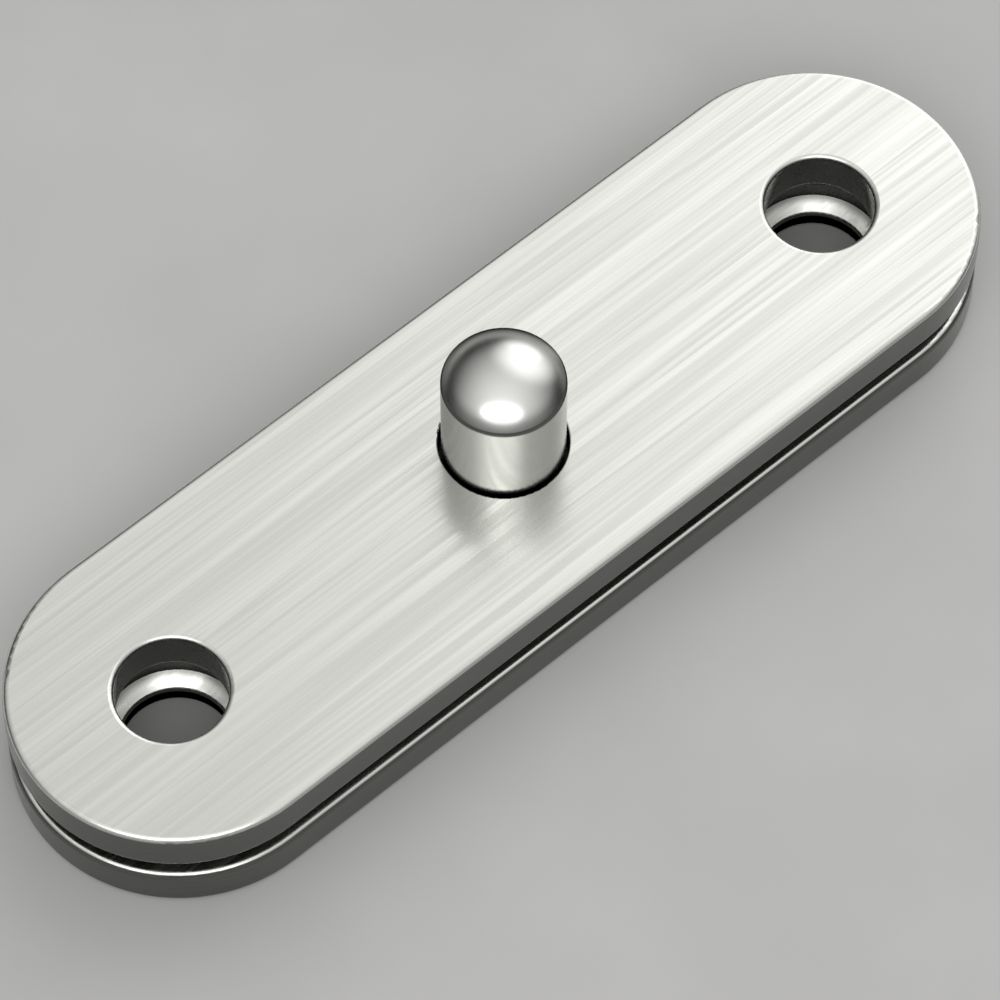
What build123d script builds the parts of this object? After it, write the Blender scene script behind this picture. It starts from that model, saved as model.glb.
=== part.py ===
from build123d import *
import os

# Pivot hinge for a swing door, lying on its base plate.
# Two flat round-ended plates lie one over the other. The lower one is screwed to the floor or frame,
# the upper one to the edge of the door, and the upper one turns on a small thrust ball bearing round
# a pin that is riveted into the lower one. The domed end of the pin stands up through the upper plate.
# Millimetres, +Z up. The origin is on the pin's axis, on the underside of the base plate.
# +X runs along the plates.

# Plates
plate_length = 69.0
plate_width = 20.0
plate_thickness = 3.0
plate_gap = 1.4
plate_edge_radius = 0.4

# Screw holes, plain in the door plate. In the base plate they have a straight recess on the side of
# the gap with a cone at its bottom, where the head of the screw sits.
screw_spacing = 50.0
screw_hole_diameter = 6.6
recess_diameter = 8.6
recess_depth = 1.2
seat_angle = 120.0
seat_edge_radius = 0.25
hole_edge_radius = 0.3

# Thrust ball bearing
bearing_bore = 8.0
bearing_diameter = 16.0
race_thickness = 1.8
race_corner = 0.25
race_seat_clearance = 0.02
fixed_race_clearance = 0.02
turning_race_clearance = 0.06
ball_diameter = 2.0
ball_count = 14
ball_clearance = 0.02
groove_radius = 1.08
cage_thickness = 1.0
cage_rim = 0.4
pocket_clearance = 0.05
cage_corner = 0.1

# Pin
rivet_shank_diameter = 6.0
rivet_flare = 0.8
pin_seat_clearance = 0.01
journal_setback = 0.2
journal_corner = 0.2
relief_depth = 0.3
relief_rise = 0.05
pin_diameter = 7.3
pin_clearance = 0.2
pin_hole_edge_radius = 0.1
pin_reach = 6.4
dome_height = 2.0
dome_edge_radius = 0.5

# Levels from the underside upwards
base_top = plate_thickness
door_bottom = base_top + plate_gap
door_top = door_bottom + plate_thickness
base_web_top = base_top - race_thickness
door_web_bottom = door_bottom + race_thickness
middle = base_top + plate_gap / 2

# Radii shared by pieces that fit each other
screw_hole_radius = screw_hole_diameter / 2
recess_radius = recess_diameter / 2
journal_radius = bearing_bore / 2
race_radius = bearing_diameter / 2
race_pocket_radius = race_radius + race_seat_clearance
shank_radius = rivet_shank_diameter / 2
pin_radius = pin_diameter / 2
ball_radius = ball_diameter / 2
ball_circle_radius = (journal_radius + race_radius) / 2
groove_centre = groove_radius - ball_radius - ball_clearance

# Planes of the faces that the holes are cut from
underside = Plane(origin=(0, 0, 0), x_dir=(1, 0, 0), z_dir=(0, 0, -1))
base_face = Plane.XY.offset(base_top)
seat_face = Plane.XY.offset(base_top - recess_depth)
door_underface = Plane(origin=(0, 0, door_bottom), x_dir=(1, 0, 0), z_dir=(0, 0, -1))

os.makedirs("parts", exist_ok=True)

# Base plate: round ends, rolled edges, two sunk screw holes, a pocket for the lower race
# and a hole for the pin, flared underneath where the pin is riveted over
with BuildPart() as base_plate:
    with BuildSketch(Plane.XY):
        SlotOverall(plate_length, plate_width)
    extrude(amount=plate_thickness)
    outer_edges = base_plate.edges().group_by(Axis.Z)
    fillet(outer_edges[0] + outer_edges[-1], radius=plate_edge_radius)
    with Locations(seat_face):
        with GridLocations(screw_spacing, 0, 2, 1):
            CounterSinkHole(
                screw_hole_radius,
                recess_radius,
                counter_sink_angle=seat_angle,
            )
    with Locations(base_face):
        CounterBoreHole(
            shank_radius + pin_seat_clearance,
            counter_bore_radius=race_pocket_radius,
            counter_bore_depth=race_thickness,
        )
    screw_hole_circles = (
        base_plate.edges()
        .filter_by(GeomType.CIRCLE)
        .filter_by(lambda rim: rim.radius < race_radius)
        .filter_by(lambda rim: abs(rim.arc_center.X) > race_radius)
        .group_by(Axis.Z)
    )
    fillet(screw_hole_circles[1] + screw_hole_circles[2], radius=seat_edge_radius)
    fillet(screw_hole_circles[0], radius=hole_edge_radius)
    with Locations(underside):
        CounterSinkHole(
            shank_radius + pin_seat_clearance,
            shank_radius + pin_seat_clearance + rivet_flare,
            counter_sink_angle=90,
        )
base_plate.part.label = "base_plate"
export_step(base_plate.part, "parts/base_plate.step")

# Door plate: the same outline with plain screw holes, and a race pocket that faces the gap.
# Its centre hole stands clear of the pin all round, because the bearing centres the plate.
with BuildPart() as door_plate:
    with BuildSketch(Plane.XY.offset(door_bottom)):
        SlotOverall(plate_length, plate_width)
    extrude(amount=plate_thickness)
    outer_edges = door_plate.edges().group_by(Axis.Z)
    fillet(outer_edges[0] + outer_edges[-1], radius=plate_edge_radius)
    with Locations(door_underface):
        with GridLocations(screw_spacing, 0, 2, 1):
            Hole(screw_hole_radius)
        CounterBoreHole(
            pin_radius + pin_clearance,
            counter_bore_radius=race_pocket_radius,
            counter_bore_depth=race_thickness,
        )
    hole_circles = (
        door_plate.edges()
        .filter_by(GeomType.CIRCLE)
        .filter_by(lambda rim: rim.radius < race_radius)
    )
    screw_hole_circles = hole_circles.filter_by(
        lambda rim: abs(rim.arc_center.X) > race_radius
    ).group_by(Axis.Z)
    pin_hole_circles = hole_circles.filter_by(
        lambda rim: abs(rim.arc_center.X) < race_radius
    ).group_by(Axis.Z)
    fillet(screw_hole_circles[0] + screw_hole_circles[-1], radius=hole_edge_radius)
    fillet(pin_hole_circles[-1], radius=pin_hole_edge_radius)
door_plate.part.label = "door_plate"
export_step(door_plate.part, "parts/door_plate.step")

# Pivot pin, turned in one piece: a shank riveted over under the base plate, a journal that carries
# the bearing, a relief inside the door plate's hole, and a plain end with a domed top above the plate
straight_top = door_top + pin_reach
edge_centre_radius = pin_radius - dome_edge_radius
crown_radius = (
    edge_centre_radius**2 + dome_height**2 - dome_edge_radius**2
) / (2 * (dome_height - dome_edge_radius))
crown_centre = straight_top + dome_height - crown_radius
edge_direction = Vector(edge_centre_radius, straight_top - crown_centre)
edge_angle = Vector(1, 0).get_angle(edge_direction)
journal_top = door_web_bottom - journal_setback
relief_top = door_top + relief_rise
with BuildPart() as pivot_pin:
    with BuildSketch(Plane.XZ):
        with BuildLine():
            dome_edge = CenterArc(
                (edge_centre_radius, straight_top), dome_edge_radius, 0, edge_angle
            )
            dome_crown = CenterArc((0, crown_centre), crown_radius, edge_angle, 90 - edge_angle)
            Polyline(
                dome_crown @ 1,
                (0, 0),
                (shank_radius + rivet_flare, 0),
                (shank_radius, rivet_flare),
                (shank_radius, base_web_top),
                (journal_radius, base_web_top),
                (journal_radius, journal_top - journal_corner),
                (journal_radius - journal_corner, journal_top),
                (pin_radius - relief_depth, journal_top),
                (pin_radius - relief_depth, relief_top),
                (pin_radius, relief_top),
                dome_edge @ 0,
            )
        make_face()
    revolve(axis=Axis.Z)
pivot_pin.part.label = "pivot_pin"
export_step(pivot_pin.part, "parts/pivot_pin.step")

# Lower race: a hardened ring with a ball groove in its upper face, seated in the base plate
with BuildPart() as lower_race:
    with BuildSketch(Plane.XZ):
        with Locations(((journal_radius + fixed_race_clearance + race_radius) / 2, base_top)):
            Rectangle(
                race_radius - journal_radius - fixed_race_clearance,
                race_thickness,
                align=(Align.CENTER, Align.MAX),
            )
    revolve(axis=Axis.Z)
    chamfer(lower_race.edges().filter_by(GeomType.CIRCLE), length=race_corner)
    with BuildSketch(Plane.XZ):
        with Locations((ball_circle_radius, middle + groove_centre)):
            Circle(groove_radius)
    revolve(axis=Axis.Z, mode=Mode.SUBTRACT)
lower_race.part.label = "lower_race"
export_step(lower_race.part, "parts/lower_race.step")

# Upper race: the same ring turned over and seated in the door plate, with a wider bore,
# so that it turns round the journal without touching
with BuildPart() as upper_race:
    with BuildSketch(Plane.XZ):
        with Locations(((journal_radius + turning_race_clearance + race_radius) / 2, door_bottom)):
            Rectangle(
                race_radius - journal_radius - turning_race_clearance,
                race_thickness,
                align=(Align.CENTER, Align.MIN),
            )
    revolve(axis=Axis.Z)
    chamfer(upper_race.edges().filter_by(GeomType.CIRCLE), length=race_corner)
    with BuildSketch(Plane.XZ):
        with Locations((ball_circle_radius, middle - groove_centre)):
            Circle(groove_radius)
    revolve(axis=Axis.Z, mode=Mode.SUBTRACT)
upper_race.part.label = "upper_race"
export_step(upper_race.part, "parts/upper_race.step")

# Ball cage: a thin ring with a round-bottomed pocket for each ball. The pockets close in a little
# above and below the balls, so the ring hangs on them between the two races.
cage_half_width = ball_radius + pocket_clearance + cage_rim
with BuildPart() as ball_cage:
    with BuildSketch(Plane.XZ):
        with Locations((ball_circle_radius, middle)):
            Rectangle(2 * cage_half_width, cage_thickness)
    revolve(axis=Axis.Z)
    chamfer(ball_cage.edges().filter_by(GeomType.CIRCLE), length=cage_corner)
    with Locations(Plane.XY.offset(middle)):
        with PolarLocations(ball_circle_radius, ball_count):
            Sphere(ball_radius + pocket_clearance, mode=Mode.SUBTRACT)
ball_cage.part.label = "ball_cage"
export_step(ball_cage.part, "parts/ball_cage.step")

# Balls, evenly spaced round the cage
ball_angle = 360 / ball_count
for index in range(ball_count):
    ball_name = f"ball_{index + 1:02d}"
    ball_place = Vector(ball_circle_radius, 0, middle).rotate(Axis.Z, index * ball_angle)
    with BuildPart() as ball:
        with Locations(ball_place):
            Sphere(ball_radius)
    ball.part.label = ball_name
    export_step(ball.part, f"parts/{ball_name}.step")
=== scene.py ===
# %% [markdown]
# A small pivot hinge for a swing door, dressed and lit for a portrait.
# The real thing is nearly all bare steel, so there is little to model and much to finish: every piece
# comes from the imported frame at its true size, and this lesson gives each one its metal. We load the
# frame first.

# %% Load the frame
import math
import bpy
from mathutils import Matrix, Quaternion, Vector


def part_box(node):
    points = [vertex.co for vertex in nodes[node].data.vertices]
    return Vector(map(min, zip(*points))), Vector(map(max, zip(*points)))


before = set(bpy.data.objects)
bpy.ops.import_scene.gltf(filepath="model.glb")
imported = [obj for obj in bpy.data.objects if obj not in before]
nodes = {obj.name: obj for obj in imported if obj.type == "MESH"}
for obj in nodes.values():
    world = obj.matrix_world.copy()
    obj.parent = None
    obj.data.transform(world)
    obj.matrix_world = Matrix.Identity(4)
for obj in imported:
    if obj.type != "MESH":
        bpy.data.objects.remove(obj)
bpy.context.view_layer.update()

# %% [markdown]
# A few sizes. A finish often follows where a point lies on its piece: on a face or a wall, in a hole, on
# the dome. The frame gives the box of every piece. Two sizes that a box can't tell are written here: the
# height of the dome, and the distance between the screw holes.

# %% Sizes
MM = 0.001
dome_height = 2.0 * MM
hole_spacing = 50.0 * MM
plate_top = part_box("door_plate")[1].z
dome_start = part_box("pivot_pin")[1].z - dome_height
print("upper face at z =", round(plate_top / MM, 2), "mm, dome from z =", round(dome_start / MM, 2), "mm")

# %% [markdown]
# The camera. The photograph looks down on the hinge from the near left, through a long lens, so the
# far end is only a little smaller than the near one. An orbit says this best: the direction that we look
# from, the distance, and the point in the middle of the frame. The camera then points back along that
# direction, and a last small roll levels it as the photograph has it.

# %% The camera
def towards(azimuth, elevation):
    """The unit vector from the hinge towards a place at these angles, in degrees. Azimuth 0 is -Y."""
    turn, rise = math.radians(azimuth), math.radians(elevation)
    return Vector((math.sin(turn) * math.cos(rise), -math.cos(turn) * math.cos(rise), math.sin(rise)))


bpy.ops.object.select_all(action="DESELECT")
camera_back = towards(azimuth=-41.237, elevation=59.921)
camera_distance = 331.5 * MM
camera_target = Vector((0.035, 0.342, 0.0)) * MM
camera_roll = Quaternion(camera_back, math.radians(0.191))
bpy.ops.object.camera_add()
camera = bpy.context.active_object
camera.name = "portrait_camera"
camera.data.sensor_width = 36.0
camera.data.lens = 201.21
camera.data.clip_start = 10 * MM
camera.location = camera_target + camera_back * camera_distance
camera.rotation_mode = "QUATERNION"
camera.rotation_quaternion = camera_roll @ camera_back.to_track_quat("Z", "Y")
bpy.context.scene.camera = camera
bpy.context.scene.view_settings.view_transform = "Standard"
print("the camera stands", [round(axis / MM) for axis in camera.location], "mm from the pin's foot")

# %% [markdown]
# Nodes in code. A material is a small graph, and wiring it one socket at a time hides what it does. One
# helper adds a node and fills its inputs in a single call. A value that is itself a socket becomes a
# link. An input goes by its name, or by its number where several share a name, as in0 and in1 do.

# %% Add a node
def add(tree, kind, settings=None, **inputs):
    """Adds a node, sets its own options, and fills its inputs. An underscore in a name is a space."""
    node = tree.nodes.new(kind)
    for option, value in (settings or {}).items():
        setattr(node, option, value)
    for name, value in inputs.items():
        place = int(name[2:]) if name.startswith("in") and name[2:].isdigit() else name.replace("_", " ")
        if isinstance(value, bpy.types.NodeSocket):
            tree.links.new(value, node.inputs[place])
        else:
            node.inputs[place].default_value = value
    return node


print("a helper that adds nodes:", add.__name__)

# %% [markdown]
# Sums, ramps and blends come back in every material. A ramp turns one quantity, such as a height, into
# another, such as a roughness. A blend mixes two colours by a mask that runs from 0 to 1.

# %% Sums, ramps and blends
def sum_of(tree, operation, first, second=0.0):
    """One step of arithmetic on two numbers."""
    return add(tree, "ShaderNodeMath", {"operation": operation}, in0=first, in1=second).outputs[0]


def ramp(tree, value, low, high, new_low=0.0, new_high=1.0, smooth=True):
    """Runs from new_low to new_high as the value goes from low to high, and stays there outside."""
    options = {"interpolation_type": "SMOOTHSTEP" if smooth else "LINEAR"}
    return add(
        tree, "ShaderNodeMapRange", options,
        Value=value, From_Min=low, From_Max=high, To_Min=new_low, To_Max=new_high,
    ).outputs["Result"]


def mix_colour(tree, share, first, second):
    """Blends two colours."""
    return add(tree, "ShaderNodeMix", {"data_type": "RGBA"}, in0=share, in6=first, in7=second).outputs[2]


print("helpers for graphs:", [helper.__name__ for helper in (sum_of, ramp, mix_colour)])

# %% [markdown]
# Noise is the raw stuff of every surface here. Its scale is given along each axis, so that one axis can
# be stretched into lines. A metal then starts from an empty material with one shader, fully metallic.

# %% Noise, and an empty metal
def noise(tree, vector, scale, shift=(0.0, 0.0, 0.0), detail=2.0):
    """Soft noise. The scale is the number of its blots to a metre along each axis."""
    place = add(tree, "ShaderNodeMapping", Vector=vector, Scale=scale, Location=shift).outputs[0]
    return add(tree, "ShaderNodeTexNoise", Vector=place, Scale=1.0, Detail=detail).outputs["Fac"]


def new_metal(name):
    """An empty material with one bare metal shader. Returns the material, its graph and the shader."""
    material = bpy.data.materials.new(name)
    material.use_nodes = True
    shader = material.node_tree.nodes["Principled BSDF"]
    shader.inputs["Metallic"].default_value = 1.0
    return material, material.node_tree, shader


print("helpers for metals:", [helper.__name__ for helper in (noise, new_metal)])

# %% [markdown]
# The floor. The hinge lies on a plain pale studio floor. A polished pin and smooth side walls are
# mirrors of what is round them, so the floor is part of their look. It gets a quiet mottle like that of
# painted board, on a plane so large that no view looks over its edge.

# %% The floor
bpy.ops.object.select_all(action="DESELECT")
bpy.ops.mesh.primitive_plane_add(size=8.0, location=(0.0, 0.0, 0.0))
floor = bpy.context.active_object
floor.name = "studio_floor"
floor_paint = bpy.data.materials.new("pale_floor_paint")
floor_paint.use_nodes = True
tree = floor_paint.node_tree
shader = tree.nodes["Principled BSDF"]
place = add(tree, "ShaderNodeTexCoord").outputs["Object"]
mottle = noise(tree, place, (45.0, 45.0, 45.0), detail=5.0)
patches = ramp(tree, mottle, 0.3, 0.7)
floor_colour = mix_colour(tree, patches, (0.50, 0.50, 0.492, 1.0), (0.54, 0.54, 0.532, 1.0))
tree.links.new(floor_colour, shader.inputs["Base Color"])
shader.inputs["Roughness"].default_value = 0.75
floor.data.materials.append(floor_paint)
print("floor", round(floor.dimensions.x, 1), "m wide")

# %% [markdown]
# The lamps. Metal shows its lamps, so their places can be read from the dome of the pin. One broad
# softbox hangs behind the camera and leaves the white oval at the front of the dome. A smaller and much
# weaker one stands low on the far right and gives the rims on that side their thin light. An area lamp's
# power is worked out from the brightness that we want to see in the mirror, so that its size can change
# without changing how bright it looks.

# %% The softboxes
def add_softbox(name, azimuth, elevation, distance, width, height, brightness):
    """Hangs a flat oval lamp that faces the hinge. Brightness 1 is white seen in a perfect mirror."""
    area = width * height * math.pi / 4
    data = bpy.data.lights.new(name, "AREA")
    data.shape = "ELLIPSE"
    data.size = width
    data.size_y = height
    data.energy = brightness * math.pi * area
    lamp = bpy.data.objects.new(name, data)
    bpy.context.scene.collection.objects.link(lamp)
    direction = towards(azimuth, elevation)
    lamp.location = direction * distance
    lamp.rotation_mode = "QUATERNION"
    lamp.rotation_quaternion = direction.to_track_quat("Z", "Y")
    print(name, "gives", round(data.energy, 2), "W")


add_softbox(
    "key_softbox", azimuth=-46.0, elevation=48.5, distance=0.70, width=0.80, height=0.34, brightness=2.0
)
add_softbox(
    "side_softbox", azimuth=118.0, elevation=20.0, distance=0.60, width=0.40, height=0.26, brightness=0.6
)

# %% [markdown]
# The room. Round the lamps the studio is bright overhead and nearly dark low on the far side, which is
# what draws the dark flanks of the dome. On the far right it has a broad soft glow, as from a lit wall:
# the dome shows it as its second light, and it brightens the far end of the brushed plate. A weaker glow
# comes from the near side. A world shader can say all that in one short graph, from the direction alone.

# %% The room
def nearness(tree, direction, azimuth, elevation):
    """How close a direction comes to the one at these angles: 1 along it, 0 square to it."""
    aim = towards(azimuth, elevation)
    return add(
        tree, "ShaderNodeVectorMath", {"operation": "DOT_PRODUCT"}, in0=direction, in1=aim
    ).outputs["Value"]


dark_low_down, overhead, side_glow, near_glow = 0.02, 0.74, 1.10, 0.30
room = bpy.data.worlds.new("studio_room")
room.use_nodes = True
bpy.context.scene.world = room
tree = room.node_tree
direction = add(tree, "ShaderNodeTexCoord").outputs["Generated"]
height = add(tree, "ShaderNodeSeparateXYZ", Vector=direction).outputs["Z"]
overhead_light = ramp(tree, height, 0.22, 1.0, dark_low_down, overhead, smooth=False)
side_light = ramp(tree, nearness(tree, direction, azimuth=108.0, elevation=33.0), 0.73, 1.0, 0.0, side_glow)
near_light = ramp(tree, nearness(tree, direction, azimuth=-40.0, elevation=15.0), -0.3, 0.8, 0.0, near_glow)
room_light = sum_of(tree, "ADD", overhead_light, sum_of(tree, "ADD", side_light, near_light))
background = tree.nodes["Background"]
background.inputs["Color"].default_value = (1.0, 1.0, 0.99, 1.0)
tree.links.new(room_light, background.inputs["Strength"])
print("the room shines at", overhead, "overhead and", dark_low_down, "low down")
print("its glows add", side_glow, "from the side and", near_glow, "from the near side")

# %% [markdown]
# Brushed steel. A belt runs along the plates and leaves fine grooves. They spread a reflection across
# the grooves but not along them, which is what the shader's anisotropy is for. It needs a direction, so
# the graph hands it the belt's on the flat faces, and the way round on the walls, both turned with the
# plate.

# %% Where the belt has been
BELT = (1.0, 0.0, 0.0)
FLAT_FACE = 0.93  # the upright part of a flat face's normal is larger than this


def belt_direction(tree, normal):
    """How far a surface faces up, and the way of its grooves: along the plate or round its walls."""
    facing_up = add(tree, "ShaderNodeSeparateXYZ", Vector=normal).outputs["Z"]
    on_flat = sum_of(tree, "GREATER_THAN", sum_of(tree, "ABSOLUTE", facing_up), FLAT_FACE)
    round_wall = add(
        tree, "ShaderNodeVectorMath", {"operation": "CROSS_PRODUCT"}, in0=(0.0, 0.0, 1.0), in1=normal
    ).outputs["Vector"]
    along = add(
        tree, "ShaderNodeMix", {"data_type": "VECTOR"}, in0=on_flat, in4=round_wall, in5=BELT
    ).outputs[1]
    turned = add(
        tree, "ShaderNodeVectorTransform",
        {"vector_type": "VECTOR", "convert_from": "OBJECT", "convert_to": "WORLD"}, Vector=along,
    )
    return facing_up, turned.outputs[0]


print("the belt ran along", BELT)

# %% [markdown]
# Distances. Holes are round, so the parts of a plate near them are found by distance. The two screw
# holes stand the same way from the middle, so a point's coordinates without their signs are enough to
# measure from the nearer one.

# %% Distances from the pin and the screw holes
def distance_from_axis(tree, place):
    """How far a point stands from the pin's axis."""
    level = add(tree, "ShaderNodeVectorMath", {"operation": "MULTIPLY"}, in0=place, in1=(1.0, 1.0, 0.0))
    return add(
        tree, "ShaderNodeVectorMath", {"operation": "LENGTH"}, in0=level.outputs["Vector"]
    ).outputs["Value"]


def distance_from_hole(tree, place):
    """How far a point stands from the middle of the screw hole at its end of the plate."""
    unsigned = add(tree, "ShaderNodeVectorMath", {"operation": "ABSOLUTE"}, in0=place).outputs["Vector"]
    middle = (hole_spacing / 2, 0.0, 0.0)
    centred = add(tree, "ShaderNodeVectorMath", {"operation": "SUBTRACT"}, in0=unsigned, in1=middle)
    return distance_from_axis(tree, centred.outputs["Vector"])


print("the screw holes stand", round(hole_spacing / 2 / MM, 1), "mm from the pin")

# %% [markdown]
# Zones of a plate. Only the big faces are brushed. The outer walls and the insides of the holes were
# cut and ground, and are painted darker: partly their duller finish, partly painted shade. On the door
# plate the face fades softly into the wall across the rounded rim, and on the base plate only a thin
# bright line is left of it. The bore round the pin and the narrow land at the foot of each screw hole are
# painted black as painted shade, and the outer corner of each screw's seat gets the walls' dark colour as
# painted shade. The undersides are painted a dull dark grey, as painted shade that keeps the gap between
# the plates dark. Each zone is a mask that follows from where a point lies and how its surface faces, so
# it needs no drawing and turns with the plate.

# %% Zones of a plate
HOLE_REACH = 4.4 * MM                    # from a screw hole's middle, past the recess for the screw's head
BORE_REACH = 4.3 * MM                    # from the pin's axis, past the hole that the pin stands in
# Painted shade: the seat's outer corner, in the recess, is painted with the walls' dark colour.
SEAT_CORNER_SHADE = (3.75 * MM, 4.25 * MM)     # where the screw's seat darkens towards the recess wall
LAND_TOP = (0.95 * MM, 1.15 * MM)        # the height at which the land ends and the seat begins
DOOR_RIM = (0.36 * MM, 0.13 * MM)        # the depths below a face between which wall turns into face
BASE_RIM = (0.13 * MM, 0.03 * MM)        # the same for the base plate, whose wall comes up higher
FACE_SKIN = 0.02 * MM                    # the depth below which a point is no longer on a face
NOT_FLAT = (0.93, 0.99)                  # from wall to anything flat, by the upright part of the normal
STEEP = (0.45, 0.85)                     # in a screw hole, from wall to face or seat, by the same
FACING_DOWN = (-0.80, -0.30)             # from underside to the rest, by the same


def plate_zones(tree, place, facing_up, low, high, rim):
    """The masks of the plate between two corners, with the two depths at which its rim becomes wall."""
    height = add(tree, "ShaderNodeSeparateXYZ", Vector=place).outputs["Z"]
    from_middle = sum_of(tree, "ABSOLUTE", sum_of(tree, "SUBTRACT", height, (low.z + high.z) / 2))
    half = (high.z - low.z) / 2
    from_hole = distance_from_hole(tree, place)
    in_hole = sum_of(tree, "LESS_THAN", from_hole, HOLE_REACH)
    sunk = sum_of(tree, "MULTIPLY", in_hole, sum_of(tree, "LESS_THAN", from_middle, half - FACE_SKIN))
    outside_holes = sum_of(tree, "SUBTRACT", 1.0, in_hole)
    levelness = sum_of(tree, "ABSOLUTE", facing_up)
    between_faces = ramp(tree, from_middle, half - rim[0], half - rim[1], 1.0, 0.0)
    outer_wall = sum_of(tree, "MULTIPLY", between_faces, ramp(tree, levelness, *NOT_FLAT, 1.0, 0.0))
    outer_wall = sum_of(tree, "MULTIPLY", outer_wall, outside_holes)
    hole_wall = sum_of(tree, "MULTIPLY", in_hole, ramp(tree, levelness, *STEEP, 1.0, 0.0))
    straight_wall = sum_of(tree, "MAXIMUM", outer_wall, hole_wall)
    # Painted shade in the corner of the recess: the seat darkens to the wall colour near its outer edge.
    painted_corner_shade = sum_of(tree, "MULTIPLY", sunk, ramp(tree, from_hole, *SEAT_CORNER_SHADE))
    wall = sum_of(tree, "MAXIMUM", straight_wall, painted_corner_shade)
    # Painted shade: the bore round the pin and the land low in each screw hole are masked here to be
    # painted black.
    near_pin = sum_of(tree, "LESS_THAN", distance_from_axis(tree, place), BORE_REACH)
    painted_bore_shade = sum_of(tree, "MULTIPLY", wall, near_pin)
    low_down = ramp(tree, height, *LAND_TOP, 1.0, 0.0)
    painted_land_shade = sum_of(tree, "MULTIPLY", sum_of(tree, "MULTIPLY", in_hole, wall), low_down)
    return {
        "wall": wall,
        "in_hole": in_hole,
        "sunk": sunk,
        "dark": sum_of(tree, "MAXIMUM", painted_bore_shade, painted_land_shade),
        "underside": ramp(tree, facing_up, *FACING_DOWN, 1.0, 0.0),
    }


print("a screw hole's zones reach", round(HOLE_REACH / MM, 1), "mm from its middle")

# %% [markdown]
# The belt's lines differ in colour and depth from one to the next. Noise stretched along X draws them
# at three widths. A fourth noise, cut off so high that little of it is left, gives a few single
# scratches, which are taken away from the rest and so come out darker.

# %% Lines of three widths, and scratches
def belt_lines(tree, place, shift):
    """Lines along X. Returns the whole pattern, and its broad lines alone."""
    fine = noise(tree, place, (45.0, 4600.0, 4600.0), shift, detail=1.0)
    middling = noise(tree, place, (32.0, 1500.0, 1500.0), shift, detail=1.0)
    broad = noise(tree, place, (14.0, 340.0, 340.0), shift)
    scratch = ramp(tree, noise(tree, place, (75.0, 3300.0, 3300.0), shift, detail=0.0), 0.66, 0.78)
    lines = sum_of(tree, "MULTIPLY", fine, 0.30)
    for pattern, share in ((middling, 0.40), (broad, 0.30), (scratch, -0.16)):
        lines = sum_of(tree, "ADD", lines, sum_of(tree, "MULTIPLY", pattern, share))
    return lines, broad


print("lines up to 4600 to the metre")

# %% [markdown]
# The plate's metal brings zones and lines together. Each zone gets a colour of its own. The lines also
# drive the roughness, between a duller and a shinier value, and a bump of a few thousandths of a
# millimetre. Walls are a little smoother than the faces, and the insides of the screw holes rougher.
# The zones painted black as painted shade mirror next to nothing, at a grazing angle too.

# %% Brushed steel
LINE_RANGE = (0.34, 0.66)                # nearly all of the pattern of lines lies between these
DULL, SHINY = 0.29, 0.17                 # the roughness at its two ends
SMOOTHER_WALLS = 0.75                    # the share of their roughness that walls keep
ROUGHER_HOLES = 0.07                     # what the insides of the screw holes have on top
WHITE, BLACK = (1.0, 1.0, 1.0, 1.0), (0.0, 0.0, 0.0, 1.0)
# Painted shade: the black painted where the gap round the pin and the foot of each screw hole lie in shade.
PAINTED_SHADE_BLACK = (0.010, 0.010, 0.009, 1.0)


def brushed_steel(name, low, high, rim, shift):
    """The metal of the plate between two corners. The shift keeps two plates from sharing scratches."""
    material, tree, shader = new_metal(name)
    coordinates = add(tree, "ShaderNodeTexCoord")
    place, normal = coordinates.outputs["Object"], coordinates.outputs["Normal"]
    facing_up, direction = belt_direction(tree, normal)
    zones = plate_zones(tree, place, facing_up, low, high, rim)
    lines, broad = belt_lines(tree, place, shift)
    ground = noise(tree, place, (60.0, 60.0, 5000.0), shift)

    line_share = ramp(tree, lines, *LINE_RANGE)
    brushed = mix_colour(tree, line_share, (0.73, 0.735, 0.70, 1.0), (0.865, 0.87, 0.83, 1.0))
    # The walls' dark colour is partly their duller ground finish and partly painted shade.
    outer_wall = mix_colour(tree, ground, (0.13, 0.133, 0.124, 1.0), (0.175, 0.178, 0.166, 1.0))
    any_wall = mix_colour(tree, zones["in_hole"], outer_wall, (0.26, 0.263, 0.25, 1.0))
    # Painted shade: the undersides get a dark grey, which keeps the gap between the plates dark.
    gap_shade_grey = mix_colour(tree, broad, (0.10, 0.10, 0.095, 1.0), (0.16, 0.16, 0.155, 1.0))
    colour = mix_colour(tree, zones["underside"], brushed, gap_shade_grey)
    colour = mix_colour(tree, zones["wall"], colour, any_wall)
    # Paints the bore and the lands black, as painted shade.
    colour = mix_colour(tree, zones["dark"], colour, PAINTED_SHADE_BLACK)
    tree.links.new(colour, shader.inputs["Base Color"])
    # The same painted shade also takes their reflections away.
    tree.links.new(mix_colour(tree, zones["dark"], WHITE, BLACK), shader.inputs["Specular Tint"])

    shine = ramp(tree, lines, *LINE_RANGE, DULL, SHINY)
    shine = sum_of(tree, "MULTIPLY", shine, ramp(tree, zones["wall"], 0.0, 1.0, 1.0, SMOOTHER_WALLS))
    shine = sum_of(tree, "ADD", shine, sum_of(tree, "MULTIPLY", zones["sunk"], ROUGHER_HOLES))
    tree.links.new(shine, shader.inputs["Roughness"])

    grooves = add(tree, "ShaderNodeBump", Strength=0.14, Distance=0.004 * MM, Height=lines)
    tree.links.new(grooves.outputs["Normal"], shader.inputs["Normal"])
    tree.links.new(direction, shader.inputs["Tangent"])
    shader.inputs["Anisotropic"].default_value = 0.55
    shader.inputs["Anisotropic Rotation"].default_value = 0.25
    return material


base_finish = brushed_steel("brushed_steel_base", *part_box("base_plate"), BASE_RIM, shift=(3.0, 11.0, 0.0))
door_finish = brushed_steel("brushed_steel_door", *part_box("door_plate"), DOOR_RIM, shift=(0.0, 0.0, 0.0))
print("brushed steel:", len(door_finish.node_tree.nodes), "nodes in the graph")
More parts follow.
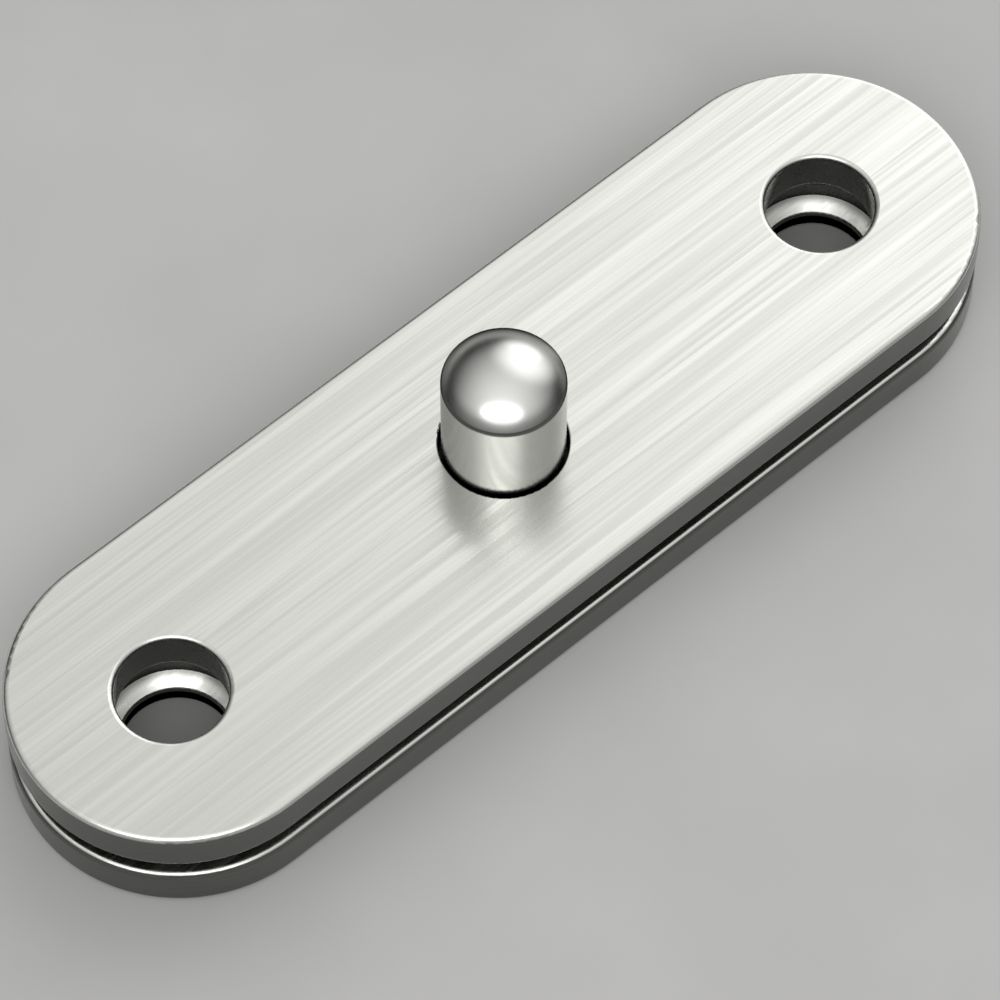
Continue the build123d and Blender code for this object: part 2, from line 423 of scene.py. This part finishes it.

# %% [markdown]
# The pin. It is turned from bar, so its shank has fine rings round it, and its dome is then polished on
# a wheel. One material serves for both, because the height tells them apart: above the start of the dome
# the rings fade. The dome is painted darker towards its shoulder, a painted dark reflection, and its
# grazing reflections are darkened too. A faint uneven haze keeps its highlights soft at the edge. Below the
# face of the upper plate the pin is painted black as painted shade, which draws the thin dark ring round
# it.

# %% The pin's steel
def turned_steel(name, satin, polish, polished_above, shaded_below):
    """Steel turned on a lathe, polished above one height, and painted black as painted shade below another.
    """
    material, tree, shader = new_metal(name)
    coordinates = add(tree, "ShaderNodeTexCoord")
    place, normal = coordinates.outputs["Object"], coordinates.outputs["Normal"]
    height = add(tree, "ShaderNodeSeparateXYZ", Vector=place).outputs["Z"]
    facing_up = add(tree, "ShaderNodeSeparateXYZ", Vector=normal).outputs["Z"]
    dome = ramp(tree, height, polished_above - 0.05 * MM, polished_above + 0.15 * MM)
    # Painted reflection: the dome's colour darkens towards its shoulder, standing in for dark surroundings
    # mirrored there.
    painted_shoulder_shade = ramp(tree, facing_up, 0.60, 0.80, 1.0, 0.0)
    # Painted shade: below this height the pin is painted black, where the gap round it lies in shade.
    pin_gap_shade = ramp(tree, height, shaded_below - 0.05 * MM, shaded_below, 1.0, 0.0)
    rings = noise(tree, place, (90.0, 90.0, 9000.0))
    haze = noise(tree, place, (400.0, 400.0, 400.0), detail=3.0)

    shank = mix_colour(tree, rings, (0.49, 0.492, 0.47, 1.0), (0.55, 0.552, 0.53, 1.0))
    polished = mix_colour(tree, haze, (0.74, 0.745, 0.72, 1.0), (0.79, 0.795, 0.77, 1.0))
    polished = mix_colour(tree, painted_shoulder_shade, polished, (0.16, 0.162, 0.156, 1.0))
    colour = mix_colour(tree, dome, shank, polished)
    colour = mix_colour(tree, pin_gap_shade, colour, PAINTED_SHADE_BLACK)
    tree.links.new(colour, shader.inputs["Base Color"])
    # The painted reflection goes on at grazing angles: the dome's specular tint is black.
    grazing_shade_tint = mix_colour(tree, dome, (0.7, 0.7, 0.7, 1.0), BLACK)
    tree.links.new(grazing_shade_tint, shader.inputs["Specular Tint"])

    shank_shine = ramp(tree, rings, 0.3, 0.7, satin + 0.03, satin - 0.03)
    dome_shine = ramp(tree, haze, 0.3, 0.7, polish + 0.02, polish - 0.02)
    shine = add(tree, "ShaderNodeMix", {"data_type": "FLOAT"}, in0=dome, in2=shank_shine, in3=dome_shine)
    tree.links.new(shine.outputs[0], shader.inputs["Roughness"])

    ring_depth = ramp(tree, dome, 0.0, 1.0, 0.25, 0.0)
    marks = add(tree, "ShaderNodeBump", Strength=ring_depth, Distance=0.003 * MM, Height=rings)
    tree.links.new(marks.outputs["Normal"], shader.inputs["Normal"])
    return material


# The height up to which the pin is painted black, as painted shade in the gap round it.
gap_shade_line = plate_top - 0.25 * MM
pin_finish = turned_steel(
    "turned_pin_steel", satin=0.22, polish=0.25, polished_above=dome_start, shaded_below=gap_shade_line
)
print("painted_shade on the pin up to z =", round(gap_shade_line / MM, 2), "mm")

# %% [markdown]
# The bearing hides between the plates, but it shows at the gap and whenever the plates are turned across
# each other. Its two races are hardened rings, ground in circles, so their lines follow the distance from
# the axis.

# %% Race steel
def ground_steel(name):
    """Steel ground in circles about the pin's axis."""
    material, tree, shader = new_metal(name)
    place = add(tree, "ShaderNodeTexCoord").outputs["Object"]
    radius = distance_from_axis(tree, place)
    height = add(tree, "ShaderNodeSeparateXYZ", Vector=place).outputs["Z"]
    section = add(tree, "ShaderNodeCombineXYZ", X=radius, Y=height).outputs[0]
    circles = noise(tree, section, (9000.0, 9000.0, 1.0))
    cloud = noise(tree, place, (500.0, 500.0, 500.0), detail=3.0)
    steel = mix_colour(tree, circles, (0.60, 0.605, 0.60, 1.0), (0.72, 0.725, 0.715, 1.0))
    tree.links.new(steel, shader.inputs["Base Color"])
    tree.links.new(ramp(tree, cloud, 0.3, 0.7, 0.26, 0.18), shader.inputs["Roughness"])
    marks = add(tree, "ShaderNodeBump", Strength=0.2, Distance=0.003 * MM, Height=circles)
    tree.links.new(marks.outputs["Normal"], shader.inputs["Normal"])
    return material


race_finish = ground_steel("ground_race_steel")
print("races:", race_finish.name)

# %% [markdown]
# The balls are the smoothest thing in the hinge. They are lapped until they mirror what is round them,
# so all that is left to draw is the faintest cloud in their colour and shine.

# %% Ball steel
def ball_steel(name):
    """Lapped steel with the faintest mottle."""
    material, tree, shader = new_metal(name)
    place = add(tree, "ShaderNodeTexCoord").outputs["Object"]
    cloud = noise(tree, place, (900.0, 900.0, 900.0), detail=3.0)
    steel = mix_colour(tree, cloud, (0.70, 0.705, 0.71, 1.0), (0.76, 0.765, 0.765, 1.0))
    tree.links.new(steel, shader.inputs["Base Color"])
    tree.links.new(ramp(tree, cloud, 0.3, 0.7, 0.10, 0.06), shader.inputs["Roughness"])
    return material


ball_finish = ball_steel("lapped_ball_steel")
print("balls:", ball_finish.name)

# %% [markdown]
# The cage that spaces the balls is stamped brass. A satin skin with a fine grain, darkened a little in
# places, sets it apart from the steel when it shows in the gap.

# %% Cage brass
def satin_brass(name):
    """Stamped brass, dulled in places."""
    material, tree, shader = new_metal(name)
    place = add(tree, "ShaderNodeTexCoord").outputs["Object"]
    dulled = noise(tree, place, (350.0, 350.0, 350.0), detail=4.0)
    grain = noise(tree, place, (6000.0, 6000.0, 6000.0), detail=1.0)
    dull_share = ramp(tree, dulled, 0.35, 0.75)
    brass = mix_colour(tree, dull_share, (0.72, 0.54, 0.26, 1.0), (0.56, 0.40, 0.19, 1.0))
    tree.links.new(brass, shader.inputs["Base Color"])
    tree.links.new(ramp(tree, dulled, 0.3, 0.7, 0.28, 0.40), shader.inputs["Roughness"])
    marks = add(tree, "ShaderNodeBump", Strength=0.15, Distance=0.003 * MM, Height=grain)
    tree.links.new(marks.outputs["Normal"], shader.inputs["Normal"])
    return material


cage_finish = satin_brass("satin_cage_brass")
print("cage:", cage_finish.name)

# %% [markdown]
# Dressing the nodes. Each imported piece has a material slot, and giving it a finish is one assignment.
# The meshes themselves are never touched.

# %% Dress every node
finishes = {
    "base_plate": base_finish,
    "door_plate": door_finish,
    "pivot_pin": pin_finish,
    "lower_race": race_finish,
    "upper_race": race_finish,
    "ball_cage": cage_finish,
}
for name, node in nodes.items():
    for slot in node.material_slots:
        slot.material = finishes.get(name, ball_finish)
print("dressed", len(nodes), "nodes, of which", len(nodes) - len(finishes), "are balls")
